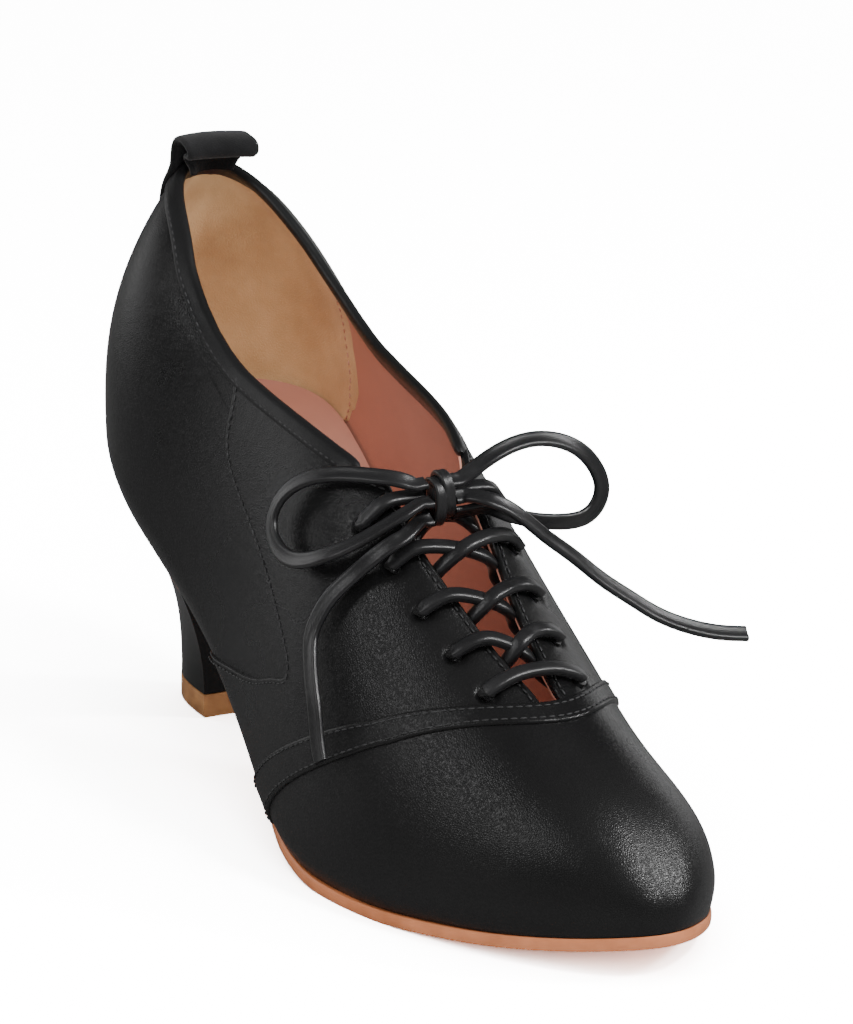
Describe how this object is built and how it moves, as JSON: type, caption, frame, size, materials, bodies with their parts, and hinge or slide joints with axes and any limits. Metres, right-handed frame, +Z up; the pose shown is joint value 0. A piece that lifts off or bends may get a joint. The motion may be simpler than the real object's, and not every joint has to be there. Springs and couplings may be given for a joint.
{
  "type": "women's heeled oxford shoe",
  "caption": "Black leather lace-up oxford with a pointed toe, high slim covered heel, tan sole edge and bow-tied laces; right foot.",
  "frame": {"origin": "on the floor under the middle of the shoe's box, the free laces left out", "axes": "+X from the heel to the toe, +Y to the medial side, +Z up from the floor"},
  "size_m": [0.2392, 0.1227, 0.1473],
  "materials": {
    "black_leather": "smooth black leather with a fine grain and a soft polish",
    "pink_lining_leather": "smooth salmon-pink lining leather, matt",
    "tan_sole_leather": "orange-tan sole leather with a burnished edge",
    "heel_cover_leather": "smooth black leather drawn over the heel",
    "tan_lift_leather": "tan top lift, matt",
    "collar_binding_leather": "rolled black leather edge",
    "black_suede": "black suede, matt with a short nap",
    "black_lace_leather": "flat black leather lace, satin"
  },
  "bodies": {
    "root": {"upper": "black_leather", "insole": "pink_lining_leather", "outsole": "tan_sole_leather", "heel_block": "heel_cover_leather", "top_lift": "tan_lift_leather", "collar_binding": "collar_binding_leather", "pull_tab": "black_suede", "lace_bar_1": "black_lace_leather", "lace_cross_2": "black_lace_leather", "lace_cross_3": "black_lace_leather", "lace_cross_4": "black_lace_leather", "lace_top_lateral": "black_lace_leather", "lace_top_medial": "black_lace_leather", "bow_knot": "black_lace_leather", "bow_loop_left": "black_lace_leather", "bow_loop_right": "black_lace_leather", "bow_end_left": "black_lace_leather", "bow_end_right": "black_lace_leather"}
  },
  "joints": []
}
